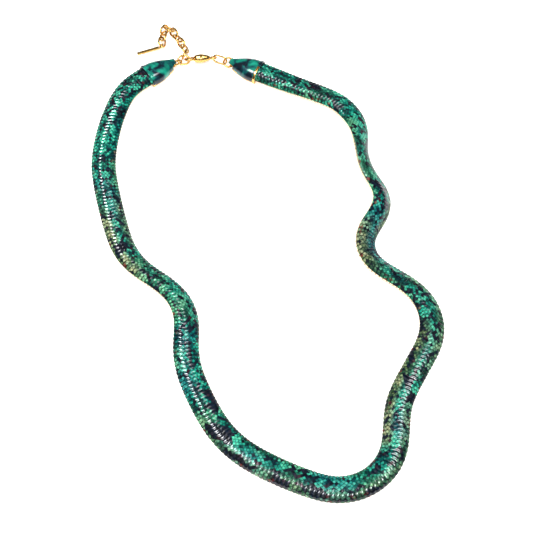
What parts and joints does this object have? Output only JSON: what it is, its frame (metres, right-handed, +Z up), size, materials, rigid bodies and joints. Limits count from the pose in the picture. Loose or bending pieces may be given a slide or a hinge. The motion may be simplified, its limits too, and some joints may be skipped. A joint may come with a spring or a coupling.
{
  "type": "snake choker necklace",
  "caption": "Choker of wide domed snake chain with a printed snake-skin enamel finish, tapered end caps, a sprung clasp and a link extender with a bar end.",
  "frame": {"origin": "centre of the box round the whole choker, at the surface that it lies on", "axes": "+Z up from the surface, +Y from the front of the loop to the clasp, +X to the right"},
  "size_m": [0.1105, 0.1738, 0.0075],
  "materials": {
    "printed_chain": "glossy teal and dark blue snake-skin print over a scaled chain",
    "enamel_cap": "glossy teal enamel with dark blotches and a bare gold-coloured rim and underside",
    "gold_plate": "polished gold plate"
  },
  "bodies": {
    "choker": {"snake_chain": "printed_chain", "end_cap_left": "enamel_cap", "end_cap_right": "enamel_cap", "clasp_body": "gold_plate", "clasp_link": "gold_plate", "jump_ring": "gold_plate", "extender_link_1": "gold_plate", "extender_link_2": "gold_plate", "extender_link_3": "gold_plate", "extender_link_4": "gold_plate", "extender_link_5": "gold_plate", "extender_link_6": "gold_plate", "extender_link_7": "gold_plate", "extender_link_8": "gold_plate", "extender_link_9": "gold_plate", "extender_link_10": "gold_plate", "extender_link_11": "gold_plate", "bar_tag": "gold_plate"},
    "lever": {"clasp_lever": "gold_plate"}
  },
  "joints": [
    {"name": "lever_hinge", "type": "hinge", "parent": "choker", "child": "lever", "pos_m": [-0.02135, 0.07229, 0.00114], "axis": [-0.0537, 0.6133, 0.788], "range_deg": [0, 24], "stiffness_Nm_per_rad": 0.002}
  ]
}
